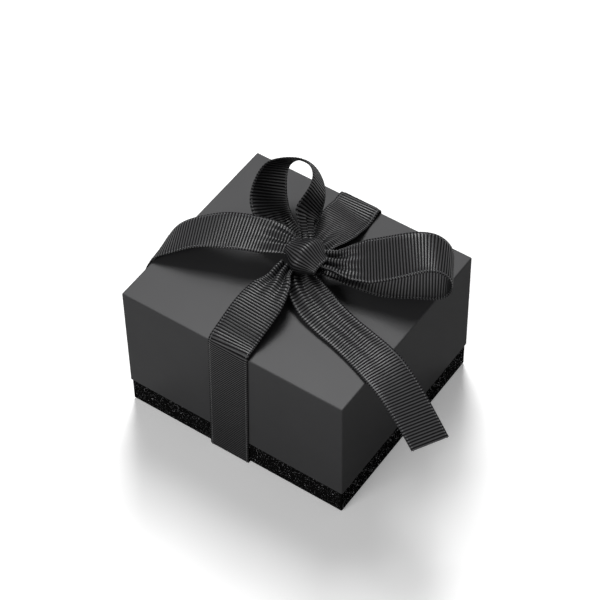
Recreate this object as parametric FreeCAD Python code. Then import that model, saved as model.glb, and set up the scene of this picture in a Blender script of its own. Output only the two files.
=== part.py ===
import FreeCAD, Part
import math
import os

V = FreeCAD.Vector

# Driving dimensions, in millimetres
box_width = 90.0  # outside of the lid, along X
box_depth = 80.0  # outside of the lid, along Y
box_height = 57.0  # closed box, without the ribbon under it
base_height = 10.7  # glittered base that shows below the lid
board = 1.5  # greyboard of the lid and the base
neck_board = 1.2  # greyboard of the neck
paper = 0.3  # covering and lining paper
tape = 0.1  # gummed corner tape
tape_leg = 9.0  # reach of a corner tape along each wall
tape_margin = 1.0  # corner tape to the ends of the wall
lid_clearance = 0.4  # lid to neck, and the base's step in from the lid, each side
seat_gap = 0.1  # lid's mouth to the base's rim
neck_rise = 26.0  # neck above the base's rim
turn_in = 16.0  # covering paper folded into the lid's mouth
edge_round = 0.5  # outside edges of the covering paper

ribbon_width = 16.0
ribbon_thick = 0.4
ribbon_gap = 0.15  # ribbon to the lid's faces, and the cut in its loop under the base
run_lean = 1.5  # how far the side runs lean to the left at their feet
run_x = -0.5  # middle of the ribbon where it crosses the lid's edges
run_arch = 7.5  # top runs above the lid, just before the knot

knot_x = 1.4  # middle of the bow
knot_y = 2.5
knot_height = 9.0  # middle of the knot above the lid
knot_aside = 0.9  # middle of the wrap, to the right of the bow's middle
knot_heading = -10.0  # degrees, the way the bow points across the lid
knot_length = 15.5  # gathered strands inside the wrap, along the bow
knot_width = 10.6  # gathered strands, across the bow
knot_depth = 7.0  # gathered strands, top to bottom
wrap_width = 11.5  # knot's wrap, along the bow
wrap_thick = 1.0  # folded ribbon of the wrap
wrap_gap = 0.2  # wrap to the gathered strands

tail_overhang = 27.7  # right tail past the lid's side
tail_aside = 32.4  # right tail's end, from the knot toward the front
tail_height = 10.0  # right tail's heights are shares of this
drape_overhang = 3.6  # left tail past the lid's side
drape_aside = 20.5  # left tail where it crosses the lid's edge, from the knot toward the front
drape_arch = 10.7  # left tail above the lid at its highest
loop_overhang = 2.4  # right loop's bend past the lid's side
loop_aside = 20.5  # right loop's bend, from the knot toward the back
loop_rise = 18.3  # right loop above the lid
upright_reach = 27.0  # upright loop, from the knot toward the left
upright_aside = 26.0  # upright loop, from the knot toward the back
upright_rise = 21.6  # upright loop above the lid

# Levels and half sizes that follow from them
half_w = box_width / 2
half_d = box_depth / 2
base_bottom = ribbon_thick
rim = base_bottom + base_height
mouth = rim + seat_gap
lid_top = base_bottom + box_height
floor_top = base_bottom + paper + board
neck_top = rim + neck_rise
wall = paper + board + paper


# Solids with flat faces
def slab(width, depth, low, high):
    return Part.makeBox(width, depth, high - low, V(-width / 2, -depth / 2, low))


def ring(width, depth, thick, low, high):
    return slab(width, depth, low, high).cut(slab(width - 2 * thick, depth - 2 * thick, low, high))


def walls(width, depth, thick, low, high):
    # The front and back run the full width, and the sides stand between them
    height = high - low
    long_wall = Part.makeBox(width, thick, height, V(-width / 2, -depth / 2, low))
    side_wall = Part.makeBox(thick, depth - 2 * thick, height, V(-width / 2, thick - depth / 2, low))
    return {
        "front": long_wall,
        "back": long_wall.translated(V(0, depth - thick, 0)),
        "left": side_wall,
        "right": side_wall.translated(V(width - thick, 0, 0)),
    }


def corner_tapes(width, depth, low, high):
    # Four angles of tape on the outside of the boards
    skin = ring(width + 2 * tape, depth + 2 * tape, tape, low + tape_margin, high - tape_margin)
    middle_x = slab(width - 2 * tape_leg, 2 * depth, low, high)
    middle_y = slab(2 * width, depth - 2 * tape_leg, low, high)
    return skin.cut(middle_x).cut(middle_y)


def rounded_edges(solid, level):
    # Rounds the upright edges and those of the closed face at the given level
    picked = []
    for edge in solid.Edges:
        ends = [vertex.Z for vertex in edge.Vertexes]
        upright = abs(ends[0] - ends[1]) > 1e-6
        if upright or abs(ends[0] - level) < 1e-6:
            picked.append(edge)
    return solid.makeFillet(edge_round, picked)


# Base with its neck
def base_nodes():
    width = box_width - 2 * lid_clearance
    depth = box_depth - 2 * lid_clearance
    board_w = width - 2 * paper
    board_d = depth - 2 * paper
    tapes = corner_tapes(board_w, board_d, base_bottom + paper, rim - paper)
    outside = rounded_edges(slab(width, depth, base_bottom, rim), base_bottom)
    boards = slab(board_w, board_d, base_bottom + paper, rim - paper)
    opening = slab(width - 2 * wall, depth - 2 * wall, floor_top, rim)
    fold = ring(board_w - 2 * board, board_d - 2 * board, paper, floor_top, rim - paper)
    nodes = {
        "base_floor_board": slab(board_w - 2 * board, board_d - 2 * board, base_bottom + paper, floor_top),
        "base_corner_tapes": tapes,
        "base_glitter_wrap": outside.cut(boards).cut(opening).fuse(fold).removeSplitter().cut(tapes),
    }
    for side, solid in walls(board_w, board_d, board, base_bottom + paper, rim - paper).items():
        nodes["base_%s_board" % side] = solid
    nodes.update(neck_nodes(width - 2 * wall, depth - 2 * wall))
    return nodes


def neck_nodes(width, depth):
    board_w = width - 2 * paper
    board_d = depth - 2 * paper
    skin = neck_board + 2 * paper
    core = ring(board_w, board_d, neck_board, floor_top, neck_top - paper)
    inside = slab(width - 2 * skin, depth - 2 * skin, floor_top, floor_top + paper)
    nodes = {
        "neck_wrap": ring(width, depth, skin, floor_top, neck_top).cut(core),
        "base_lining_sheet": inside,
    }
    for side, solid in walls(board_w, board_d, neck_board, floor_top, neck_top - paper).items():
        nodes["neck_%s_board" % side] = solid
    return nodes


# Lid
def lid_nodes():
    board_w = box_width - 2 * paper
    board_d = box_depth - 2 * paper
    inner_w = board_w - 2 * board
    inner_d = board_d - 2 * board
    tapes = corner_tapes(board_w, board_d, mouth + paper, lid_top - paper)
    outside = rounded_edges(slab(box_width, box_depth, mouth, lid_top), lid_top)
    boards = slab(board_w, board_d, mouth + paper, lid_top - paper)
    opening = slab(inner_w - 2 * paper, inner_d - 2 * paper, mouth, mouth + paper)
    fold_top = mouth + paper + turn_in
    fold = ring(inner_w, inner_d, paper, mouth + paper, fold_top)
    ceiling = lid_top - paper - board
    hollow = slab(inner_w - 2 * paper, inner_d - 2 * paper, fold_top, ceiling - paper)
    nodes = {
        "lid_top_board": slab(inner_w, inner_d, ceiling, lid_top - paper),
        "lid_corner_tapes": tapes,
        "lid_wrap": outside.cut(boards).cut(opening).fuse(fold).removeSplitter().cut(tapes),
        "lid_lining": slab(inner_w, inner_d, fold_top, ceiling).cut(hollow),
    }
    for side, solid in walls(board_w, board_d, board, mouth + paper, lid_top - paper).items():
        nodes["lid_%s_board" % side] = solid
    return nodes


# Ribbon strips that bend and twist
def smooth(points, params):
    curve = Part.BSplineCurve()
    curve.interpolate(Points=points, Parameters=params)
    return curve


def eased(values, span, share):
    # A curve through a list of vectors, which may repeat
    last = len(values) - 1
    a, b, c, d = [values[min(max(i, 0), last)] for i in range(span - 1, span + 3)]
    first = (c - a) * 0.5
    second = (a * 2 - b * 5 + c * 4 - d) * 0.5
    third = (b * 3 - a - c * 3 + d) * 0.5
    return b + first * share + second * share**2 + third * share**3


def strip(stations, per_span=5):
    # Each station is the middle of the ribbon, the way across it, and its gathered width
    middles = [V(*station[0]) for station in stations]
    params = [0.0]
    for first, second in zip(middles, middles[1:]):
        params.append(params[-1] + first.distanceToPoint(second))
    middle = smooth(middles, params)
    across = [V(*station[1]) for station in stations]
    rails = [[], [], [], []]
    fine = []
    for span in range(len(stations) - 1):
        last = span == len(stations) - 2
        for step in range(per_span + (1 if last else 0)):
            share = step / per_span
            param = params[span] + share * (params[span + 1] - params[span])
            width = stations[span][2] + share * (stations[span + 1][2] - stations[span][2])
            along = middle.tangent(param)[0]
            side = eased(across, span, share)
            side = (side - along * side.dot(along)).normalize() * (width / 2)
            rise = along.cross(side).normalize() * (ribbon_thick / 2)
            point = middle.value(param)
            corners = [point - side - rise, point + side - rise, point + side + rise, point - side + rise]
            for rail, corner in zip(rails, corners):
                rail.append(corner)
            fine.append(param)
    curves = [smooth(rail, fine) for rail in rails]
    faces = []
    for low, high in zip(params, params[1:]):
        edges = []
        for curve in curves:
            stretch = curve.copy()
            stretch.segment(low, high)
            edges.append(stretch.toShape())
        faces += [Part.makeRuledSurface(edges[i], edges[(i + 1) % 4], 1) for i in range(4)]
    for end in (0, -1):
        loop = [rail[end] for rail in rails]
        faces.append(Part.Face(Part.makePolygon(loop + loop[:1])))
    shell = Part.makeShell(faces)
    shell.sewShape()
    solid = Part.makeSolid(shell)
    if solid.Volume < 0:
        solid.reverse()
    return solid


def flat_run(facing):
    # The ribbon down the front or back face, leaning to the left at its foot
    near = half_d + ribbon_gap
    low = ribbon_thick + ribbon_gap
    high = lid_top - edge_round
    half = ribbon_width / 2
    corners = [(run_x - run_lean - half, low), (run_x - run_lean + half, low)]
    corners += [(run_x + half, high), (run_x - half, high)]
    points = [V(x, facing * near, z) for x, z in corners]
    face = Part.Face(Part.makePolygon(points + points[:1]))
    return face.extrude(V(0, facing * ribbon_thick, 0))


def top_run(facing, hump):
    # From the lid's edge up to the knot, humped like a bridge; a row is x, shares of the span and the rise, across, width
    edge = half_d + ribbon_gap + ribbon_thick / 2
    span = edge - facing * knot_y
    left = (-1, 0, 0)
    stations = [((run_x, facing * edge, lid_top - edge_round), left, ribbon_width)]
    stations.append(((run_x, facing * (edge - 0.35), lid_top + 0.9), left, ribbon_width))
    for x, share, rise, across, width in hump:
        place = (run_x + x, facing * (edge - share * span), lid_top + rise * run_arch)
        stations.append((place, across, width * ribbon_width))
    return strip(stations)


def front_hump():
    return [
        (-0.2, 0.09, 0.28, (-1, 0, 0.05), 1.0),
        (-0.1, 0.21, 0.51, (-1, 0, 0.06), 1.0),
        (0.0, 0.33, 0.71, (-1, 0, 0.08), 1.0),
        (0.1, 0.46, 0.87, (-1, 0, 0.04), 0.97),
        (0.1, 0.57, 0.97, (-1, 0.07, 0), 0.87),
        (0.0, 0.66, 1.0, (-1, 0.16, -0.05), 0.7),
        (-0.7, 0.74, 0.99, (-0.93, 0.32, -0.15), 0.5),
        (-1.2, 0.87, 0.95, (-0.88, 0.47, 0), 0.38),
    ]


def back_hump():
    return [
        (0.4, 0.145, 0.23, (-1, 0.07, 0.1), 1.0),
        (0.9, 0.31, 0.4, (-1, 0.13, 0.12), 1.0),
        (1.4, 0.47, 0.58, (-1, 0.23, 0.02), 0.97),
        (1.7, 0.62, 0.74, (-1, 0.3, -0.08), 0.87),
        (1.9, 0.74, 0.85, (-1, 0.35, -0.13), 0.67),
        (2.2, 0.87, 0.98, (-1, 0.2, 0.05), 0.44),
    ]


def bow_strand(reach, aside, rise, rows):
    # A row is shares of the reach, the way aside and the rise, then the way across and the share of the width
    stations = []
    for x, y, height, across, width in rows:
        place = (knot_x + x * reach, knot_y + y * aside, lid_top + height * rise)
        stations.append((place, across, width * ribbon_width))
    return strip(stations)


def tail_right():
    # Falls from the knot to the lid, runs to its right edge and droops over it
    return bow_strand(half_w + tail_overhang - knot_x, tail_aside, tail_height, [
        (0.02, -0.06, 0.6, (-0.76, -0.65, 0), 0.5),
        (0.03, -0.17, 0.56, (-0.76, -0.65, -0.04), 0.66),
        (0.09, -0.28, 0.44, (-0.73, -0.69, -0.03), 0.79),
        (0.18, -0.36, 0.25, (-0.66, -0.75, -0.02), 0.89),
        (0.27, -0.42, 0.15, (-0.54, -0.84, -0.02), 0.89),
        (0.38, -0.48, 0.12, (-0.41, -0.91, -0.02), 0.88),
        (0.5, -0.55, 0.11, (-0.27, -0.96, -0.03), 0.92),
        (0.63, -0.64, 0.07, (-0.17, -0.98, 0), 0.99),
        (0.83, -0.82, -0.31, (-0.15, -0.98, 0.14), 1.0),
        (1.0, -1.0, -0.83, (-0.17, -0.96, 0.2), 1.0),
    ])


def tail_left():
    # Arches over the lid's left half and drapes over its left edge
    return bow_strand(half_w + knot_x + drape_overhang, drape_aside, drape_arch, [
        (-0.06, 0.06, 0.88, (-0.4, 0.9, 0.15), 0.47),
        (-0.16, 0.01, 0.99, (-0.46, 0.88, 0.15), 0.62),
        (-0.3, -0.07, 1.0, (-0.54, 0.83, 0.1), 0.91),
        (-0.44, -0.18, 0.98, (-0.51, 0.86, 0.03), 1.0),
        (-0.57, -0.3, 0.91, (-0.51, 0.86, 0.02), 1.0),
        (-0.76, -0.52, 0.66, (-0.42, 0.91, -0.08), 1.0),
        (-0.9, -0.73, 0.25, (-0.31, 0.95, -0.09), 1.0),
        (-0.97, -0.88, -0.17, (-0.26, 0.93, -0.28), 1.0),
        (-0.98, -1.05, -0.75, (-0.18, 0.95, -0.25), 1.0),
        (-0.96, -1.14, -1.3, (-0.1, 0.95, -0.2), 1.0),
    ])


def loop_right():
    # Out over the right half of the lid, round its end and back below itself
    return bow_strand(half_w + loop_overhang - knot_x, loop_aside, loop_rise, [
        (0.12, 0.02, 0.56, (-0.45, 0.87, 0.2), 0.41),
        (0.23, 0.12, 0.56, (-0.5, 0.82, 0.3), 0.5),
        (0.34, 0.21, 0.61, (-0.54, 0.74, 0.4), 0.78),
        (0.46, 0.34, 0.69, (-0.54, 0.72, 0.42), 0.97),
        (0.69, 0.61, 0.94, (-0.55, 0.77, 0.3), 1.0),
        (0.88, 0.88, 1.0, (-0.52, 0.85, 0.07), 1.0),
        (0.99, 1.0, 0.69, (-0.5, 0.87, -0.1), 1.0),
        (0.97, 0.95, 0.3, (-0.5, 0.85, -0.15), 1.0),
        (0.78, 0.68, 0.19, (-0.5, 0.84, -0.2), 1.0),
        (0.56, 0.41, 0.19, (-0.45, 0.86, -0.2), 1.0),
        (0.36, 0.22, 0.27, (-0.44, 0.87, -0.2), 0.78),
        (0.12, 0.07, 0.36, (-0.44, 0.87, 0.05), 0.43),
    ])


def loop_upright():
    # Back and up from the knot's left end, over the top and down into the knot
    return bow_strand(upright_reach, upright_aside, upright_rise, [
        (-0.15, 0.12, 0.3, (-0.3, -0.94, 0.2), 0.5),
        (-0.45, 0.28, 0.25, (-0.2, -0.96, 0.2), 0.69),
        (-0.75, 0.4, 0.3, (-0.33, -0.91, 0.25), 0.93),
        (-0.89, 0.51, 0.4, (-0.45, -0.79, 0.42), 1.0),
        (-0.99, 0.69, 0.6, (-0.33, -0.74, 0.59), 1.0),
        (-0.98, 0.87, 0.85, (-0.08, -0.72, 0.69), 1.0),
        (-0.78, 0.99, 0.99, (0.1, -0.68, 0.72), 1.0),
        (-0.52, 0.99, 0.98, (0.1, -0.55, 0.83), 1.0),
        (-0.34, 0.85, 0.89, (0.02, -0.49, 0.87), 1.0),
        (-0.27, 0.61, 0.76, (-0.12, -0.53, 0.84), 1.0),
        (-0.25, 0.45, 0.66, (-0.2, -0.66, 0.72), 0.96),
        (-0.19, 0.35, 0.58, (-0.15, -0.7, 0.7), 0.69),
        (-0.12, 0.24, 0.5, (-0.16, -0.77, 0.61), 0.44),
        (-0.04, 0.12, 0.47, (-0.16, -0.77, 0.61), 0.38),
    ])


# Knot
def knot_frame():
    turn = FreeCAD.Rotation(V(0, 0, 1), knot_heading)
    return FreeCAD.Placement(V(knot_x + knot_aside, knot_y, lid_top + knot_height), turn)


def knot_core():
    # The strands gathered inside the wrap
    stretch = FreeCAD.Matrix()
    stretch.scale(knot_length / 2, knot_width / 2, knot_depth / 2)
    return Part.makeSphere(1.0).transformGeometry(stretch).transformGeometry(knot_frame().toMatrix())


def knot_wrap():
    # One turn of folded ribbon round the gathered strands
    def disc(grow):
        major = knot_width / 2 + wrap_gap + grow
        minor = knot_depth / 2 + wrap_gap + grow
        oval = Part.Ellipse(V(0, major, 0), V(minor, 0, 0), V(0, 0, 0)).toShape()
        return Part.Face(Part.Wire([oval])).extrude(V(0, 0, wrap_width))

    band = disc(wrap_thick).cut(disc(0))
    band.Placement = FreeCAD.Placement(V(-wrap_width / 2, 0, 0), FreeCAD.Rotation(V(0, 1, 0), 90))
    return band.transformGeometry(knot_frame().toMatrix())


def shown(solid, cover):
    # The stretch of a strand that shows, outside the knot or past the run it joins
    pieces = solid.cut(cover).Solids
    return max(pieces, key=lambda piece: piece.Volume)


def ribbon_nodes():
    core = knot_core()
    wrap = knot_wrap()
    reach = half_d + ribbon_gap + ribbon_thick
    under = Part.makeBox(ribbon_width, 2 * reach, ribbon_thick)
    strands = {
        "ribbon_top_front": top_run(-1, front_hump()),
        "ribbon_top_back": top_run(1, back_hump()),
        "bow_tail_right": tail_right(),
        "bow_tail_left": tail_left(),
        "bow_loop_right": loop_right(),
        "bow_loop_upright": loop_upright(),
    }
    nodes = {
        "ribbon_under_run": under.translated(V(run_x - run_lean - ribbon_width / 2, -reach, 0)),
        "ribbon_front_run": flat_run(-1),
        "ribbon_back_run": flat_run(1),
        "bow_knot_core": core,
        "bow_knot_wrap": wrap,
    }
    knot = core.fuse(wrap)
    for name, solid in strands.items():
        nodes[name] = shown(solid, knot)
    for side in ("front", "back"):
        top = "ribbon_top_%s" % side
        nodes[top] = shown(nodes[top], nodes["ribbon_%s_run" % side])
    return nodes


def build():
    nodes = {}
    nodes.update(base_nodes())
    nodes.update(lid_nodes())
    nodes.update(ribbon_nodes())
    os.makedirs("parts", exist_ok=True)
    for name, shape in nodes.items():
        shape.exportStep("parts/%s.step" % name)
        print("%-20s %8.1f mm3 %s" % (name, shape.Volume, "valid" if shape.isValid() else "NOT VALID"))


build()
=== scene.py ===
import math
import bpy
import numpy as np
from mathutils import Matrix, Vector


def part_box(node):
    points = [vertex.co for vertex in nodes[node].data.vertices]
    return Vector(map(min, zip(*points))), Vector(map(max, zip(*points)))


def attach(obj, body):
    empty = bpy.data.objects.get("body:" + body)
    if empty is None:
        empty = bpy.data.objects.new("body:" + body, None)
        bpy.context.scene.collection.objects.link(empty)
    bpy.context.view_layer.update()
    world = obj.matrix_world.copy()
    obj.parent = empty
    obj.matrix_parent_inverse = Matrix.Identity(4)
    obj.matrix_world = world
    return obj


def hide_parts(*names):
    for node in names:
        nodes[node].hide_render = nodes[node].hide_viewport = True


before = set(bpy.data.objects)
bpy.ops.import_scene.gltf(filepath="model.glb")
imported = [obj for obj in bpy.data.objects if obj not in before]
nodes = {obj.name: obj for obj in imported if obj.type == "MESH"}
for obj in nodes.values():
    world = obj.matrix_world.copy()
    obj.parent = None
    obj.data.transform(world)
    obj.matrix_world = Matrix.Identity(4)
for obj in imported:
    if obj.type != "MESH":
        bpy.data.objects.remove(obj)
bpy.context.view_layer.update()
mm = 0.001
print("frame loaded:", len(nodes), "nodes")


# one function for every node, in shaders and in geometry trees
def addNode(tree, kind, inputs=None, **settings):
    node = tree.nodes.new(kind)
    for name, value in settings.items():
        setattr(node, name, value)
    for key, value in (inputs or {}).items():
        if isinstance(value, bpy.types.NodeSocket):
            tree.links.new(value, node.inputs[key])
        else:
            node.inputs[key].default_value = value
    return node


def hexColour(text):
    values = [int(text[i:i + 2], 16) / 255 for i in (1, 3, 5)]
    linear = [v / 12.92 if v <= 0.04045 else ((v + 0.055) / 1.055) ** 2.4 for v in values]
    return (*linear, 1.0)


def newMaterial(name):
    material = bpy.data.materials.new(name)
    material.use_nodes = True
    tree = material.node_tree
    return material, tree, tree.nodes["Principled BSDF"]


def setSockets(material, values):
    for socket, value in values.items():
        material.node_tree.nodes["Principled BSDF"].inputs[socket].default_value = value


paperLook = {"cloudDetail": 3.0, "grainDetail": 2.0, "bumpStrength": 0.35, "roughSpread": 0.05}


# cloudy colour and fine bump on object coordinates, for papers and boards
def paperGrain(name, dark, light, cloudMm, grainMm, bumpMm, rough, gloss):
    material, tree, shader = newMaterial(name)
    place = addNode(tree, "ShaderNodeTexCoord").outputs["Object"]
    clouds = {"Vector": place, "Scale": 1 / (cloudMm * mm), "Detail": paperLook["cloudDetail"]}
    cloud = addNode(tree, "ShaderNodeTexNoise", clouds).outputs["Fac"]
    fibres = {"Vector": place, "Scale": 1 / (grainMm * mm), "Detail": paperLook["grainDetail"]}
    grain = addNode(tree, "ShaderNodeTexNoise", fibres).outputs["Fac"]
    shades = {"Factor": cloud, "A": hexColour(dark), "B": hexColour(light)}
    colour = addNode(tree, "ShaderNodeMix", shades, data_type="RGBA").outputs[2]
    low, high = rough - paperLook["roughSpread"], rough + paperLook["roughSpread"]
    spread = addNode(tree, "ShaderNodeMapRange", {"Value": cloud, "To Min": low, "To Max": high})
    relief = {"Height": grain, "Strength": paperLook["bumpStrength"], "Distance": bumpMm * mm}
    bump = addNode(tree, "ShaderNodeBump", relief)
    tree.links.new(colour, shader.inputs["Base Color"])
    tree.links.new(spread.outputs["Result"], shader.inputs["Roughness"])
    tree.links.new(bump.outputs["Normal"], shader.inputs["Normal"])
    shader.inputs["Specular Tint"].default_value = (gloss, gloss, gloss, 1)
    return material


# matt-laminated art paper: a dark grey under a film whose weak gloss is even from every side
satinPaper = paperGrain(
    "satinLaminatedPaper", "#404041", "#444445",
    cloudMm=14, grainMm=0.5, bumpMm=0.006, rough=0.5, gloss=0.0,
)
satinFilm = {"Specular IOR Level": 0.0, "Coat Weight": 0.08, "Coat IOR": 2.2, "Coat Roughness": 0.34}
setSockets(satinPaper, satinFilm)
# uncoated black lining paper: no sheen, a faint fibre tooth
liningPaper = paperGrain(
    "uncoatedBlackPaper", "#161616", "#1e1e1e",
    cloudMm=5, grainMm=0.25, bumpMm=0.03, rough=0.8, gloss=0.6,
)
# greyboard: pressed waste paper, speckled and dull
greyboard = paperGrain(
    "greyboard", "#6f6a62", "#8b857b",
    cloudMm=1.2, grainMm=0.3, bumpMm=0.05, rough=0.9, gloss=0.8,
)
# gummed kraft tape: brown, slightly shiny
kraftTape = paperGrain(
    "gummedKraftTape", "#7d5a35", "#94703f",
    cloudMm=3, grainMm=0.3, bumpMm=0.02, rough=0.6, gloss=0.9,
)
# black ground under the glitter: dull lacquer that holds the flakes
glitterGround = paperGrain(
    "blackGlitterLacquer", "#0c0c0c", "#181818",
    cloudMm=0.8, grainMm=0.35, bumpMm=0.08, rough=0.6, gloss=0.3,
)
setSockets(glitterGround, {"Specular IOR Level": 0.0})

flakeLook = {"cellMm": 0.5, "dark": "#0a0a0a", "light": "#8e8f90", "metallic": 0.85, "rough": 0.32}


# metallised polyester glitter: flat flakes, each a small mirror with its own grey
def glitterFlakeMaterial():
    material, tree, shader = newMaterial("metallisedGlitterFlake")
    place = addNode(tree, "ShaderNodeTexCoord").outputs["Object"]
    cells = addNode(tree, "ShaderNodeTexVoronoi", {"Vector": place, "Scale": 1 / (flakeLook["cellMm"] * mm)})
    greys = {"Factor": cells.outputs["Color"], "A": hexColour(flakeLook["dark"]), "B": hexColour(flakeLook["light"])}
    grey = addNode(tree, "ShaderNodeMix", greys, data_type="RGBA").outputs[2]
    tree.links.new(grey, shader.inputs["Base Color"])
    setSockets(material, {"Metallic": flakeLook["metallic"], "Roughness": flakeLook["rough"]})
    return material


# millimetres, but for the mesh rows to a rib
grosgrain = {
    "width": 16.0,
    "thick": 0.3,
    "ribPitch": 1.05,
    "ribHeight": 0.22,
    "ribFade": 0.4,
    "selvedge": 0.9,
    "stitchInset": 0.75,
    "stitchLong": 0.62,
    "stitchWide": 0.5,
    "warpPitch": 0.22,
    "fuzz": 0.9,
    "rowsPerRib": 8,
}
# ribbon colours: the valley colour is painted shade in the rib valleys and the crest colour a painted highlight on
# the rib crests, graded along each rib; fuzz is the yarn's own random tone
grosgrainLook = {
    "valleyPaintedShade": "#0a0a0a",
    "crest": "#38383a",
    "fuzz": "#1c1c1d",
    "fuzzDetail": 3.0,
    "valleyCosine": 0.6,
    "crestCosine": -1.0,
    "valleyGloss": 0.02,
    "crestGloss": 0.36,
    "bumpStrength": 0.2,
    "bumpMm": 0.03,
}
grosgrainSheen = {"Specular IOR Level": 0.0, "Coat IOR": 2.0, "Coat Roughness": 0.36, "Roughness": 0.6}


# polyester grosgrain: thick weft cords under a fine black warp; over the real rib relief and a glossier coat on the
# crests, the colour is painted lighter on each rib's crest as a painted highlight and darker in its valleys as
# painted shade
def grosgrainMaterial():
    material, tree, shader = newMaterial("blackGrosgrain")
    look = grosgrainLook

    def wave(attribute, pitch, operation):
        distance = addNode(tree, "ShaderNodeAttribute", attribute_name=attribute).outputs["Fac"]
        turns = addNode(tree, "ShaderNodeMath", {0: distance, 1: 2 * math.pi / (pitch * mm)}, operation="MULTIPLY")
        return addNode(tree, "ShaderNodeMath", {0: turns.outputs[0]}, operation=operation).outputs[0]

    # crest runs from 0 in a rib's valley to 1 on its crest; it grades the painted highlight and painted shade below,
    # and the coat's gloss
    ribs = wave("along", grosgrain["ribPitch"], "COSINE")
    climb = {"Value": ribs, "From Min": look["valleyCosine"], "From Max": look["crestCosine"]}
    crest = addNode(tree, "ShaderNodeMapRange", climb).outputs["Result"]
    warp = wave("aside", grosgrain["warpPitch"], "SINE")
    place = addNode(tree, "ShaderNodeTexCoord").outputs["Object"]
    cloud = {"Vector": place, "Scale": 1 / (grosgrain["fuzz"] * mm), "Detail": look["fuzzDetail"]}
    fuzz = addNode(tree, "ShaderNodeTexNoise", cloud).outputs["Fac"]
    # painted highlight and painted shade: the colour goes from the dark valley colour to the lighter crest colour
    # with every rib
    shades = {"Factor": crest, "A": hexColour(look["valleyPaintedShade"]), "B": hexColour(look["crest"])}
    tint = addNode(tree, "ShaderNodeMix", shades, data_type="RGBA").outputs[2]
    shades = {"Factor": fuzz, "A": tint, "B": hexColour(look["fuzz"])}
    shade = addNode(tree, "ShaderNodeMix", shades, data_type="RGBA").outputs[2]
    height = addNode(tree, "ShaderNodeMath", {0: warp, 1: fuzz}, operation="ADD").outputs[0]
    relief = {"Height": height, "Strength": look["bumpStrength"], "Distance": look["bumpMm"] * mm}
    bump = addNode(tree, "ShaderNodeBump", relief)
    shine = {"Value": crest, "To Min": look["valleyGloss"], "To Max": look["crestGloss"]}
    gloss = addNode(tree, "ShaderNodeMapRange", shine)
    tree.links.new(gloss.outputs["Result"], shader.inputs["Coat Weight"])
    tree.links.new(shade, shader.inputs["Base Color"])
    tree.links.new(bump.outputs["Normal"], shader.inputs["Normal"])
    setSockets(material, grosgrainSheen)
    return material


threadLook = {"twistMm": 0.2, "twistDetail": 1.0, "dark": "#303031", "light": "#7c7c7e", "rough": 0.38}


# selvedge thread: the weft's turns at the ribbon's edges, tighter and shinier than the ribs
def selvedgeMaterial():
    material, tree, shader = newMaterial("selvedgeThread")
    place = addNode(tree, "ShaderNodeTexCoord").outputs["Object"]
    cloud = {"Vector": place, "Scale": 1 / (threadLook["twistMm"] * mm), "Detail": threadLook["twistDetail"]}
    twist = addNode(tree, "ShaderNodeTexNoise", cloud).outputs["Fac"]
    greys = {"Factor": twist, "A": hexColour(threadLook["dark"]), "B": hexColour(threadLook["light"])}
    grey = addNode(tree, "ShaderNodeMix", greys, data_type="RGBA").outputs[2]
    tree.links.new(grey, shader.inputs["Base Color"])
    setSockets(material, {"Roughness": threadLook["rough"]})
    return material


blackGrosgrain = grosgrainMaterial()
selvedgeThread = selvedgeMaterial()
glitterFlake = glitterFlakeMaterial()

# CAD nodes that keep their shape
finishes = {
    "lid_wrap": satinPaper,
    "base_glitter_wrap": glitterGround,
    "neck_wrap": liningPaper,
    "lid_lining": liningPaper,
    "base_lining_sheet": liningPaper,
}
for name, node in nodes.items():
    material = finishes.get(name)
    if name.endswith("_board"):
        material = greyboard
    if name.endswith("_tapes"):
        material = kraftTape
    if material:
        node.data.materials.clear()
        node.data.materials.append(material)
print("papers and boards finished")

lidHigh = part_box("lid_wrap")[1]
lidTop = lidHigh.z / mm
halfD = lidHigh.y / mm

# ribbon strands by the stations of the solids they stand for: middle, way across and gathered width, in mm
bow = {"x": 1.4, "y": 2.5, "height": 9.0}
runs = {
    "x": -0.5,
    "lean": 1.5,
    "gap": 0.4,
    "foot": 0.55,
    "turn": 0.5,
    "turnIn": 0.35,
    "turnUp": 0.9,
    "shares": (0, 0.35, 0.7, 0.9, 0.97, 1.0),
    "arch": 7.5,
    "underZ": 0.2,
    "underRib": 0.04,
}
full = grosgrain["width"]


# up one face from its foot, over the lid's edge and up a hump to the knot
def runStations(facing, hump):
    edge = halfD + runs["gap"]
    span = edge - facing * bow["y"]
    left = (-1, 0, 0)
    foot = runs["foot"]
    high = lidTop - runs["turn"]
    stations = []
    for share in runs["shares"]:
        x = runs["x"] - runs["lean"] * (1 - share)
        stations.append(((x, facing * edge, foot + share * (high - foot)), left, full))
    stations.append(((runs["x"], facing * (edge - runs["turnIn"]), lidTop + runs["turnUp"]), left, full))
    for x, share, rise, across, width in hump:
        place = (runs["x"] + x, facing * (edge - share * span), lidTop + rise * runs["arch"])
        stations.append((place, across, width))
    return stations


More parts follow.
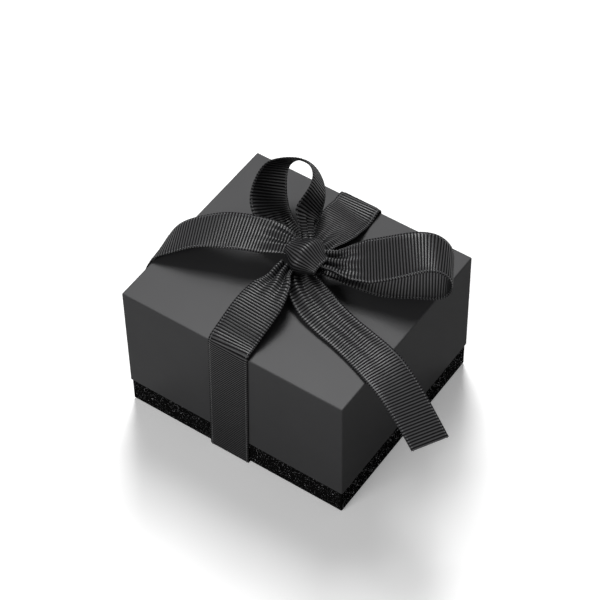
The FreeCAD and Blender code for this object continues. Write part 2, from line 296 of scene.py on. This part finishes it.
frontHump = [
    (-0.2, 0.09, 0.28, (-1, 0, 0.05), full),
    (-0.1, 0.21, 0.51, (-1, 0, 0.06), full),
    (0.0, 0.33, 0.71, (-1, 0, 0.08), full),
    (0.1, 0.46, 0.87, (-1, 0, 0.04), 15.6),
    (0.1, 0.57, 0.97, (-1, 0.07, 0), 14.0),
    (0.0, 0.66, 1.0, (-1, 0.16, -0.05), 11.2),
    (-0.7, 0.74, 0.99, (-0.93, 0.32, -0.15), 8.0),
    (-1.2, 0.87, 0.95, (-0.88, 0.47, 0), 6.0),
]
backHump = [
    (0.4, 0.145, 0.23, (-1, 0.07, 0.1), full),
    (0.9, 0.31, 0.4, (-1, 0.13, 0.12), full),
    (1.4, 0.47, 0.58, (-1, 0.23, 0.02), 15.5),
    (1.7, 0.62, 0.74, (-1, 0.3, -0.08), 13.9),
    (1.9, 0.74, 0.85, (-1, 0.35, -0.13), 10.8),
    (2.2, 0.87, 0.98, (-1, 0.2, 0.05), 7.0),
]


# a bow strand from its rows: shares of its reach, its way aside and its rise, then across and width
def bowStations(reach, aside, rise, rows):
    stations = []
    for x, y, height, across, width in rows:
        place = (bow["x"] + x * reach, bow["y"] + y * aside, lidTop + height * rise)
        stations.append((place, across, width))
    return stations


tailRight = {"reach": 71.3, "aside": 32.4, "rise": 10, "rows": [
    (0.02, -0.06, 0.6, (-0.76, -0.65, 0), 8.0),
    (0.03, -0.17, 0.56, (-0.76, -0.65, -0.04), 10.5),
    (0.09, -0.28, 0.44, (-0.73, -0.69, -0.03), 12.6),
    (0.18, -0.36, 0.25, (-0.66, -0.75, -0.02), 14.3),
    (0.27, -0.42, 0.15, (-0.54, -0.84, -0.02), 14.3),
    (0.38, -0.48, 0.12, (-0.41, -0.91, -0.02), 14.0),
    (0.5, -0.55, 0.11, (-0.27, -0.96, -0.03), 14.7),
    (0.63, -0.64, 0.07, (-0.17, -0.98, 0), 15.8),
    (0.83, -0.82, -0.31, (-0.15, -0.98, 0.14), full),
    (1.0, -1.0, -0.83, (-0.17, -0.96, 0.2), full),
]}

tailLeft = {"reach": 50, "aside": 20.5, "rise": 10.7, "rows": [
    (-0.06, 0.06, 0.88, (-0.4, 0.9, 0.15), 7.5),
    (-0.16, 0.01, 0.99, (-0.46, 0.88, 0.15), 10.0),
    (-0.3, -0.07, 1.0, (-0.54, 0.83, 0.1), 14.5),
    (-0.44, -0.18, 0.98, (-0.51, 0.86, 0.03), full),
    (-0.57, -0.3, 0.91, (-0.51, 0.86, 0.02), full),
    (-0.76, -0.52, 0.66, (-0.42, 0.91, -0.08), full),
    (-0.9, -0.73, 0.25, (-0.31, 0.95, -0.09), full),
    (-0.97, -0.88, -0.17, (-0.26, 0.93, -0.28), full),
    (-0.98, -1.05, -0.75, (-0.18, 0.95, -0.25), full),
    (-0.96, -1.14, -1.3, (-0.1, 0.95, -0.2), full),
]}

loopRight = {"reach": 46, "aside": 20.5, "rise": 18.3, "rows": [
    (0.12, 0.02, 0.56, (-0.45, 0.87, 0.2), 6.5),
    (0.23, 0.12, 0.56, (-0.5, 0.82, 0.3), 8.0),
    (0.34, 0.21, 0.61, (-0.54, 0.74, 0.4), 12.5),
    (0.46, 0.34, 0.69, (-0.54, 0.72, 0.42), 15.5),
    (0.69, 0.61, 0.94, (-0.55, 0.77, 0.3), full),
    (0.88, 0.88, 1.0, (-0.52, 0.85, 0.07), full),
    (0.99, 1.0, 0.69, (-0.5, 0.87, -0.1), full),
    (0.97, 0.95, 0.3, (-0.5, 0.85, -0.15), full),
    (0.78, 0.68, 0.19, (-0.5, 0.84, -0.2), full),
    (0.56, 0.41, 0.19, (-0.45, 0.86, -0.2), full),
    (0.36, 0.22, 0.27, (-0.44, 0.87, -0.2), 12.5),
    (0.12, 0.07, 0.36, (-0.44, 0.87, 0.05), 6.8),
]}

loopUpright = {"reach": 27, "aside": 26, "rise": 21.6, "rows": [
    (-0.15, 0.12, 0.3, (-0.3, -0.94, 0.2), 8.0),
    (-0.45, 0.28, 0.25, (-0.2, -0.96, 0.2), 11.0),
    (-0.75, 0.4, 0.3, (-0.33, -0.91, 0.25), 14.9),
    (-0.89, 0.51, 0.4, (-0.45, -0.79, 0.42), full),
    (-0.99, 0.69, 0.6, (-0.33, -0.74, 0.59), full),
    (-0.98, 0.87, 0.85, (-0.08, -0.72, 0.69), full),
    (-0.78, 0.99, 0.99, (0.1, -0.68, 0.72), full),
    (-0.52, 0.99, 0.98, (0.1, -0.55, 0.83), full),
    (-0.34, 0.85, 0.89, (0.02, -0.49, 0.87), full),
    (-0.27, 0.61, 0.76, (-0.12, -0.53, 0.84), full),
    (-0.25, 0.45, 0.66, (-0.2, -0.66, 0.72), 15.4),
    (-0.19, 0.35, 0.58, (-0.15, -0.7, 0.7), 11.0),
    (-0.12, 0.24, 0.5, (-0.16, -0.77, 0.61), 7.0),
    (-0.04, 0.12, 0.47, (-0.16, -0.77, 0.61), 6.0),
]}


# the knot's last turn: an oval band round the bow's middle, ribs along its heading, edges pulled in by the crown
knotTurn = {
    "heading": -10,
    "shift": (0.9, -0.1, 0.2),
    "across": 6.4,
    "deep": 4.6,
    "width": 15.4,
    "stations": 13,
    "startDeg": 250,
    "stepDeg": 30,
}
knotFolds = {"pleats": 1.5, "fold": -0.7, "crown": -2.4}


def knotStations():
    turn = math.radians(knotTurn["heading"])
    ahead = (math.cos(turn), math.sin(turn), 0)
    over = Vector((-math.sin(turn), math.cos(turn), 0))
    middle = Vector((bow["x"], bow["y"], lidTop + bow["height"])) + Vector(knotTurn["shift"])
    stations = []
    for step in range(knotTurn["stations"]):
        angle = math.radians(knotTurn["startDeg"] - knotTurn["stepDeg"] * step)
        up = Vector((0, 0, knotTurn["deep"] * math.sin(angle)))
        place = middle + over * knotTurn["across"] * math.cos(angle) + up
        stations.append((tuple(place), ahead, knotTurn["width"]))
    return stations


# natural cubic spline through rows of values
def cubicThrough(params, values):
    p, v = np.array(params, float), np.array(values, float)
    n, h = len(p), np.diff(p)
    a = np.zeros((n, n))
    b = np.zeros((n, v.shape[1]))
    a[0, 0] = a[-1, -1] = 1
    for i in range(1, n - 1):
        a[i, i - 1:i + 2] = h[i - 1], 2 * (h[i - 1] + h[i]), h[i]
        b[i] = 6 * ((v[i + 1] - v[i]) / h[i] - (v[i] - v[i - 1]) / h[i - 1])
    m = np.linalg.solve(a, b)

    def at(t):
        i = np.clip(np.searchsorted(p, t) - 1, 0, n - 2)
        d, u = (t - p[i])[:, None], (p[i + 1] - t)[:, None]
        w = h[i][:, None]
        bend = (m[i] * u**3 + m[i + 1] * d**3) / (6 * w)
        return bend + (v[i] / w - m[i] * w / 6) * u + (v[i + 1] / w - m[i + 1] * w / 6) * d

    return at


sheetGrid = {"samples": 2000, "columns": 17, "columnReach": 0.8, "pleats": 2.5, "pleatDepth": 0.3}


# a ribbon's middle surface: rows along it, several to a rib, and columns across it, pleated where it is gathered
def ribbonSheet(name, stations, pleats=sheetGrid["pleats"], fold=None, crown=0.0):
    middles = np.array([s[0] for s in stations], float)
    params = np.r_[0, np.cumsum(np.linalg.norm(np.diff(middles, axis=0), axis=1))]
    spine = cubicThrough(params, middles)
    acrossLine = cubicThrough(params, [s[1] for s in stations])
    dense = np.linspace(0, params[-1], sheetGrid["samples"])
    lengths = np.r_[0, np.cumsum(np.linalg.norm(np.diff(spine(dense), axis=0), axis=1))]
    rows = int(lengths[-1] / grosgrain["ribPitch"] * grosgrain["rowsPerRib"]) + 1
    run = np.linspace(0, lengths[-1], rows)
    t = np.interp(run, lengths, dense)
    points = spine(t)
    ahead = np.gradient(points, run, axis=0)
    ahead /= np.linalg.norm(ahead, axis=1)[:, None]
    across = acrossLine(t)
    across -= (across * ahead).sum(1)[:, None] * ahead
    across /= np.linalg.norm(across, axis=1)[:, None]
    rise = np.cross(ahead, across)
    width = np.interp(t, params, [s[2] for s in stations])
    inset = 1 - 2 * grosgrain["stitchInset"] / full
    even = np.linspace(-sheetGrid["columnReach"], sheetGrid["columnReach"], sheetGrid["columns"])
    columns = np.r_[-1, -inset, even, inset, 1]
    gathered = np.clip(full - width, 0, None)
    deep = sheetGrid["pleatDepth"] * gathered / pleats if fold is None else np.full(rows, fold)
    pleat = deep[:, None] * np.cos(np.pi * pleats * columns[None, :]) - crown * columns[None, :]**2
    sideways = across[:, None] * (width[:, None] / 2 * columns[None, :])[..., None]
    grid = points[:, None] + sideways + rise[:, None] * pleat[..., None]
    count = len(columns)
    faces = []
    for i in range(rows - 1):
        for j in range(count - 1):
            k = i * count + j
            faces.append((k, k + count, k + count + 1, k + 1))
    mesh = bpy.data.meshes.new(name)
    mesh.from_pydata((grid.reshape(-1, 3) * mm).tolist(), [], faces)

    def store(label, kind, domain, values):
        mesh.attributes.new(label, kind, domain).data.foreach_set("value", values)

    def inStitchRow(edge):
        first, second = edge.vertices
        return abs(first - second) == count and first % count in (1, count - 2)

    store("along", "FLOAT", "POINT", np.repeat(run * mm, count))
    store("aside", "FLOAT", "POINT", np.tile(columns * full / 2 * mm, rows))
    store("stitchRow", "BOOLEAN", "EDGE", [inStitchRow(edge) for edge in mesh.edges])
    piece = bpy.data.objects.new(name, mesh)
    bpy.context.scene.collection.objects.link(piece)
    return piece, lengths[-1]


def addInput(tree, name, kind):
    tree.interface.new_socket(name, in_out="INPUT", socket_type=kind)


weaveMesh = {"extrude": 0.2, "merge": 0.002, "beadSegments": 8, "beadRings": 5}


# rib cords on both faces of a sheet, and the weft's turns along its two selvedges
def grosgrainTree():
    tree = bpy.data.node_groups.new("grosgrainWeave", "GeometryNodeTree")
    addInput(tree, "Geometry", "NodeSocketGeometry")
    for name in ("Rib Pitch", "Rib Height", "Thickness", "Selvedge", "Half Width", "Stitch Length", "Stitch Width"):
        addInput(tree, name, "NodeSocketFloat")
    addInput(tree, "Ribbon", "NodeSocketMaterial")
    addInput(tree, "Thread", "NodeSocketMaterial")
    tree.interface.new_socket("Geometry", in_out="OUTPUT", socket_type="NodeSocketGeometry")
    given = addNode(tree, "NodeGroupInput").outputs

    def dress(geometry, material):
        smooth = addNode(tree, "GeometryNodeSetShadeSmooth", {"Geometry": geometry}).outputs[0]
        return addNode(tree, "GeometryNodeSetMaterial", {"Geometry": smooth, "Material": material}).outputs[0]

    attributeNode = "GeometryNodeInputNamedAttribute"
    along = addNode(tree, attributeNode, {"Name": "along"}, data_type="FLOAT").outputs["Attribute"]
    aside = addNode(tree, attributeNode, {"Name": "aside"}, data_type="FLOAT").outputs["Attribute"]
    ribs = addNode(tree, "ShaderNodeMath", {0: along, 1: given["Rib Pitch"]}, operation="DIVIDE").outputs[0]
    share = addNode(tree, "ShaderNodeMath", {0: ribs}, operation="FRACT").outputs[0]
    cord = addNode(tree, "ShaderNodeMath", {0: share, 1: 2.0, 2: -1.0}, operation="MULTIPLY_ADD").outputs[0]
    square = addNode(tree, "ShaderNodeMath", {0: cord, 1: cord}, operation="MULTIPLY").outputs[0]
    rest = addNode(tree, "ShaderNodeMath", {0: 1.0, 1: square}, operation="SUBTRACT").outputs[0]
    above = addNode(tree, "ShaderNodeMath", {0: rest, 1: 0.0}, operation="MAXIMUM").outputs[0]
    rounded = addNode(tree, "ShaderNodeMath", {0: above}, operation="SQRT").outputs[0]
    edges = {0: given["Half Width"], 1: given["Selvedge"]}
    ribbed = addNode(tree, "ShaderNodeMath", edges, operation="SUBTRACT").outputs[0]
    offMiddle = addNode(tree, "ShaderNodeMath", {0: aside}, operation="ABSOLUTE").outputs[0]
    reach = addNode(tree, "ShaderNodeMath", {0: ribbed, 1: offMiddle}, operation="SUBTRACT").outputs[0]
    fade = addNode(tree, "ShaderNodeMath", {0: reach, 1: grosgrain["ribFade"] * mm}, operation="DIVIDE").outputs[0]
    fade = addNode(tree, "ShaderNodeMath", {0: fade, 1: 0.0}, operation="MAXIMUM").outputs[0]
    inner = addNode(tree, "ShaderNodeMath", {0: fade, 1: 1.0}, operation="MINIMUM").outputs[0]
    crest = addNode(tree, "ShaderNodeMath", {0: rounded, 1: inner}, operation="MULTIPLY").outputs[0]
    swell = addNode(tree, "ShaderNodeMath", {0: crest, 1: given["Rib Height"]}, operation="MULTIPLY").outputs[0]
    half = addNode(tree, "ShaderNodeMath", {0: given["Thickness"], 1: 0.5}, operation="MULTIPLY").outputs[0]
    lift = addNode(tree, "ShaderNodeMath", {0: swell, 1: half}, operation="ADD").outputs[0]
    normal = addNode(tree, "GeometryNodeInputNormal").outputs[0]
    facing = {"Geometry": given["Geometry"], "Name": "outwards", "Value": normal}
    kind = {"data_type": "FLOAT_VECTOR", "domain": "POINT"}
    marked = addNode(tree, "GeometryNodeStoreNamedAttribute", facing, **kind).outputs[0]
    step = weaveMesh["extrude"] * mm
    outer = {"Mesh": marked, "Offset Scale": step, "Individual": False}
    thick = addNode(tree, "GeometryNodeExtrudeMesh", outer, mode="FACES").outputs
    top = {"Geometry": thick["Mesh"], "Selection": thick["Top"], "Name": "upper", "Value": 1.0}
    kind = {"data_type": "FLOAT", "domain": "POINT"}
    upper = addNode(tree, "GeometryNodeStoreNamedAttribute", top, **kind).outputs[0]
    under = addNode(tree, "GeometryNodeFlipFaces", {"Mesh": marked}).outputs[0]
    joined = addNode(tree, "GeometryNodeJoinGeometry")
    tree.links.new(upper, joined.inputs[0])
    tree.links.new(under, joined.inputs[0])
    near = {"Geometry": joined.outputs[0], "Distance": weaveMesh["merge"] * mm}
    closed = addNode(tree, "GeometryNodeMergeByDistance", near).outputs[0]
    isUpper = addNode(tree, attributeNode, {"Name": "upper"}, data_type="FLOAT").outputs["Attribute"]
    normals = addNode(tree, attributeNode, {"Name": "outwards"}, data_type="FLOAT_VECTOR").outputs["Attribute"]
    upMove = addNode(tree, "ShaderNodeMath", {0: lift, 1: step}, operation="SUBTRACT").outputs[0]
    downMove = addNode(tree, "ShaderNodeMath", {0: lift, 1: -1.0}, operation="MULTIPLY").outputs[0]
    sides = {"Factor": isUpper, "A": downMove, "B": upMove}
    move = addNode(tree, "ShaderNodeMix", sides, data_type="FLOAT").outputs[0]
    away = {0: normals, "Scale": move}
    shift = addNode(tree, "ShaderNodeVectorMath", away, operation="SCALE").outputs[0]
    shaped = addNode(tree, "GeometryNodeSetPosition", {"Geometry": closed, "Offset": shift}).outputs[0]
    cloth = dress(shaped, given["Ribbon"])
    rows = addNode(tree, attributeNode, {"Name": "stitchRow"}, data_type="BOOLEAN").outputs["Attribute"]
    lines = addNode(tree, "GeometryNodeMeshToCurve", {"Mesh": marked, "Selection": rows}).outputs[0]
    pitch = {"Curve": lines, "Length": given["Rib Pitch"]}
    spaced = addNode(tree, "GeometryNodeResampleCurve", pitch, mode="LENGTH").outputs[0]
    ball = {"Segments": weaveMesh["beadSegments"], "Rings": weaveMesh["beadRings"], "Radius": 0.5}
    bead = addNode(tree, "GeometryNodeMeshUVSphere", ball).outputs["Mesh"]
    tangent = addNode(tree, "GeometryNodeInputTangent").outputs[0]
    turned = addNode(tree, "FunctionNodeAlignRotationToVector", {"Vector": tangent}, axis="X").outputs[0]
    sizes = {"X": given["Stitch Length"], "Y": given["Stitch Width"], "Z": given["Stitch Width"]}
    size = addNode(tree, "ShaderNodeCombineXYZ", sizes).outputs[0]
    placed = {"Points": spaced, "Instance": bead, "Rotation": turned, "Scale": size}
    beads = addNode(tree, "GeometryNodeInstanceOnPoints", placed).outputs[0]
    real = addNode(tree, "GeometryNodeRealizeInstances", {"Geometry": beads}).outputs[0]
    thread = dress(real, given["Thread"])
    whole = addNode(tree, "GeometryNodeJoinGeometry")
    tree.links.new(cloth, whole.inputs[0])
    tree.links.new(thread, whole.inputs[0])
    addNode(tree, "NodeGroupOutput", {0: whole.outputs[0]})
    return tree


weave = grosgrainTree()


# runs a tree on a piece and leaves a plain mesh
def bake(piece, tree, values):
    sockets = {i.name: i.identifier for i in tree.interface.items_tree if i.in_out == "INPUT"}
    modifier = piece.modifiers.new("shape", "NODES")
    modifier.node_group = tree
    for name, value in values.items():
        modifier[sockets[name]] = value
    bpy.context.view_layer.update()
    made = bpy.data.meshes.new_from_object(piece.evaluated_get(bpy.context.evaluated_depsgraph_get()))
    piece.modifiers.remove(modifier)
    old = piece.data
    piece.data = made
    bpy.data.meshes.remove(old)
    made.name = piece.name


def weaveRibbon(name, stations, body, replaced, held, restsOn, ribHeight=grosgrain["ribHeight"], **shape):
    piece, length = ribbonSheet(name, stations, **shape)
    bake(piece, weave, {
        "Rib Pitch": grosgrain["ribPitch"] * mm,
        "Rib Height": ribHeight * mm,
        "Thickness": grosgrain["thick"] * mm,
        "Selvedge": grosgrain["selvedge"] * mm,
        "Half Width": full / 2 * mm,
        "Stitch Length": grosgrain["stitchLong"] * mm,
        "Stitch Width": grosgrain["stitchWide"] * mm,
        "Ribbon": blackGrosgrain,
        "Thread": selvedgeThread,
    })
    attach(piece, body)
    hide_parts(*replaced)
    print("ribbon", name, round(length, 1), "mm,", len(piece.data.polygons), "faces")


underY = halfD + runs["gap"]
underX = runs["x"] - runs["lean"]
underStations = [
    ((underX, y, runs["underZ"]), (-1, 0, 0), full)
    for y in (-underY, -underY / 3, underY / 3, underY)
]
weaveRibbon(
    "ribbonFront", runStations(-1, frontHump), "ribbon",
    ["ribbon_front_run", "ribbon_top_front"], "stretched", ["lid_wrap"],
)
weaveRibbon(
    "ribbonBack", runStations(1, backHump), "ribbon",
    ["ribbon_back_run", "ribbon_top_back"], "stretched", ["lid_wrap"],
)
weaveRibbon(
    "ribbonUnder", underStations, "base",
    ["ribbon_under_run"], "stretched", ["base_glitter_wrap"], ribHeight=runs["underRib"],
)
weaveRibbon("bowTailRight", bowStations(**tailRight), "ribbon", ["bow_tail_right"], "draped", ["lid_wrap"])
weaveRibbon("bowTailLeft", bowStations(**tailLeft), "ribbon", ["bow_tail_left"], "draped", ["lid_wrap"])
weaveRibbon("bowLoopRight", bowStations(**loopRight), "ribbon", ["bow_loop_right"], "folded", ["lid_wrap"])
weaveRibbon("bowLoopUpright", bowStations(**loopUpright), "ribbon", ["bow_loop_upright"], "folded", ["bowKnotWrap"])
weaveRibbon(
    "bowKnotWrap", knotStations(), "ribbon",
    ["bow_knot_wrap", "bow_knot_core"], "gathered", ["lid_wrap"], **knotFolds,
)
print("ribbon woven")


glitter = {
    "perMm2": 2.2,
    "flakeMm": 0.1,
    "flakeCorners": 6,
    "smallest": 0.45,
    "largest": 1.25,
    "tiltDeg": 38,
    "proudMm": 0.03,
    "edgeMm": 0.6,
    "topEdgeMm": 0.2,
    "seed": 7,
    "tiltSeed": 21,
    "spinSeed": 33,
    "sizeSeed": 45,
}


# glitter flakes strewn over the base's four sides
def glitterTree():
    tree = bpy.data.node_groups.new("glitterFlakes", "GeometryNodeTree")
    addInput(tree, "Geometry", "NodeSocketGeometry")
    addInput(tree, "Density", "NodeSocketFloat")
    addInput(tree, "Flake Radius", "NodeSocketFloat")
    addInput(tree, "Tilt", "NodeSocketFloat")
    addInput(tree, "Seed", "NodeSocketInt")
    addInput(tree, "Flake", "NodeSocketMaterial")
    tree.interface.new_socket("Geometry", in_out="OUTPUT", socket_type="NodeSocketGeometry")
    given = addNode(tree, "NodeGroupInput").outputs
    spread = {"Mesh": given["Geometry"], "Density": given["Density"], "Seed": given["Seed"]}
    strewn = addNode(tree, "GeometryNodeDistributePointsOnFaces", spread).outputs
    rim = {"Vertices": glitter["flakeCorners"], "Radius": given["Flake Radius"]}
    disc = addNode(tree, "GeometryNodeMeshCircle", rim, fill_type="NGON").outputs[0]
    least = addNode(tree, "ShaderNodeMath", {0: given["Tilt"], 1: -1.0}, operation="MULTIPLY").outputs[0]
    leans = {2: least, 3: given["Tilt"], "Seed": given["Seed"]}
    lean = addNode(tree, "FunctionNodeRandomValue", leans, data_type="FLOAT").outputs[1]
    leans = {2: least, 3: given["Tilt"], "Seed": glitter["tiltSeed"]}
    leanToo = addNode(tree, "FunctionNodeRandomValue", leans, data_type="FLOAT").outputs[1]
    turns = {2: 0.0, 3: 2 * math.pi, "Seed": glitter["spinSeed"]}
    spin = addNode(tree, "FunctionNodeRandomValue", turns, data_type="FLOAT").outputs[1]
    angles = addNode(tree, "ShaderNodeCombineXYZ", {"X": lean, "Y": leanToo, "Z": spin}).outputs[0]
    tilt = addNode(tree, "FunctionNodeEulerToRotation", {"Euler": angles}).outputs[0]
    turned = {"Rotation": strewn["Rotation"], "Rotate By": tilt}
    facing = addNode(tree, "FunctionNodeRotateRotation", turned, rotation_space="LOCAL").outputs[0]
    sizes = {2: glitter["smallest"], 3: glitter["largest"], "Seed": glitter["sizeSeed"]}
    size = addNode(tree, "FunctionNodeRandomValue", sizes, data_type="FLOAT").outputs[1]
    placed = {"Points": strewn["Points"], "Instance": disc, "Rotation": facing, "Scale": size}
    flakes = addNode(tree, "GeometryNodeInstanceOnPoints", placed).outputs[0]
    real = addNode(tree, "GeometryNodeRealizeInstances", {"Geometry": flakes}).outputs[0]
    done = addNode(tree, "GeometryNodeSetMaterial", {"Geometry": real, "Material": given["Flake"]}).outputs[0]
    addNode(tree, "NodeGroupOutput", {0: done})
    return tree


def glitterFlakes():
    low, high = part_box("base_glitter_wrap")
    out = glitter["proudMm"] * mm
    edge = glitter["edgeMm"] * mm
    bottom, top = low.z + edge, high.z - glitter["topEdgeMm"] * mm
    x, y = high.x + out, high.y + out
    corners = [(-x, -y), (x, -y), (x, y), (-x, y)]
    points, faces = [], []
    for k in range(4):
        a, b = Vector(corners[k]), Vector(corners[(k + 1) % 4])
        inset = (b - a).normalized() * edge
        a, b = a + inset, b - inset
        first = len(points)
        points += [(*a, bottom), (*b, bottom), (*b, top), (*a, top)]
        faces.append((first, first + 1, first + 2, first + 3))
    mesh = bpy.data.meshes.new("baseGlitter")
    mesh.from_pydata(points, [], faces)
    piece = bpy.data.objects.new("baseGlitter", mesh)
    bpy.context.scene.collection.objects.link(piece)
    bake(piece, glitterTree(), {
        "Density": glitter["perMm2"] / mm**2,
        "Flake Radius": glitter["flakeMm"] * mm,
        "Tilt": math.radians(glitter["tiltDeg"]),
        "Seed": glitter["seed"],
        "Flake": glitterFlake,
    })
    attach(piece, "base")
    print("glitter", len(piece.data.polygons), "flakes")


glitterFlakes()


# floor, lamps and camera
stageSet = {
    "floor": "#f2f2f2",
    "floorHalf": 3,
    "floorRough": 0.9,
    "floorLift": 0.25,
    "bounce": "#8c8c8c",
    "world": 0.1,
    "lampTarget": (0, 0, 0.04),
}
white = (1, 1, 1, 1)


# 1 for a ray that shows the stage, straight or by way of a reflection, 0 for one that lights the part
def seenRays(tree):
    ray = addNode(tree, "ShaderNodeLightPath").outputs
    pair = {0: ray["Is Camera Ray"], 1: ray["Is Glossy Ray"]}
    seen = addNode(tree, "ShaderNodeMath", pair, operation="MAXIMUM").outputs[0]
    pair = {0: seen, 1: ray["Is Transmission Ray"]}
    return addNode(tree, "ShaderNodeMath", pair, operation="MAXIMUM").outputs[0]


# pale studio floor: near white to the eye, greyer for the light it throws back
def makeFloor():
    half = stageSet["floorHalf"]
    mesh = bpy.data.meshes.new("floor")
    corners = [(-half, -half, 0), (half, -half, 0), (half, half, 0), (-half, half, 0)]
    mesh.from_pydata(corners, [], [(0, 1, 2, 3)])
    floor = bpy.data.objects.new("floor", mesh)
    bpy.context.scene.collection.objects.link(floor)
    material, tree, shader = newMaterial("paleStudioFloor")
    seen = seenRays(tree)
    tints = {"Factor": seen, "A": hexColour(stageSet["bounce"]), "B": hexColour(stageSet["floor"])}
    tint = addNode(tree, "ShaderNodeMix", tints, data_type="RGBA").outputs[2]
    tree.links.new(tint, shader.inputs["Base Color"])
    lift = addNode(tree, "ShaderNodeMath", {0: seen, 1: stageSet["floorLift"]}, operation="MULTIPLY").outputs[0]
    tree.links.new(lift, shader.inputs["Emission Strength"])
    setSockets(material, {"Roughness": stageSet["floorRough"], "Emission Color": white})
    mesh.materials.append(material)


def makeWorld():
    world = bpy.data.worlds.new("paleStudio")
    world.use_nodes = True
    tree = world.node_tree
    back = tree.nodes["Background"]
    levels = {"Value": seenRays(tree), "To Min": stageSet["world"], "To Max": 1.0}
    level = addNode(tree, "ShaderNodeMapRange", levels).outputs["Result"]
    tree.links.new(level, back.inputs["Strength"])
    back.inputs["Color"].default_value = white
    bpy.context.scene.world = world


lamps = {
    "keySoftbox": {"place": (-0.44, 0.63, 0.83), "size": 0.3, "power": 7.0, "glossy": False},
    "overheadSoftbox": {"place": (-0.3, 0.43, 1.02), "size": 0.4, "power": 7.0, "glossy": True},
    "frontFill": {"place": (-0.1, -0.8, 0.5), "size": 0.4, "power": 3.2, "glossy": True},
}


def makeLamps():
    target = Vector(stageSet["lampTarget"])
    for name, lamp in lamps.items():
        data = bpy.data.lights.new(name, "AREA")
        data.shape = "SQUARE"
        data.size = lamp["size"]
        data.energy = lamp["power"]
        light = bpy.data.objects.new(name, data)
        light.location = lamp["place"]
        light.visible_glossy = lamp["glossy"]
        light.rotation_mode = "QUATERNION"
        light.rotation_quaternion = (target - Vector(lamp["place"])).to_track_quat("-Z", "Y")
        bpy.context.scene.collection.objects.link(light)


# the photograph's viewpoint, in the box's frame
viewpoint = {
    "place": (0.3053, -0.4295, 0.6634),
    "right": (0.8241, 0.5663, -0.0126),
    "forward": (-0.3750, 0.5288, -0.7614),
    "lens": 141.5,
    "sensor": 36,
}


def makeCamera():
    data = bpy.data.cameras.new("viewpoint")
    data.sensor_width = viewpoint["sensor"]
    data.lens = viewpoint["lens"]
    camera = bpy.data.objects.new("viewpoint", data)
    bpy.context.scene.collection.objects.link(camera)
    ahead = Vector(viewpoint["forward"]).normalized()
    right = Vector(viewpoint["right"])
    right = (right - ahead * right.dot(ahead)).normalized()
    turn = Matrix((right, right.cross(ahead), -ahead)).transposed()
    camera.matrix_world = Matrix.Translation(viewpoint["place"]) @ turn.to_4x4()
    bpy.context.scene.camera = camera


makeFloor()
makeWorld()
makeLamps()
makeCamera()
bpy.context.scene.view_settings.view_transform = "Standard"
print("stage set")
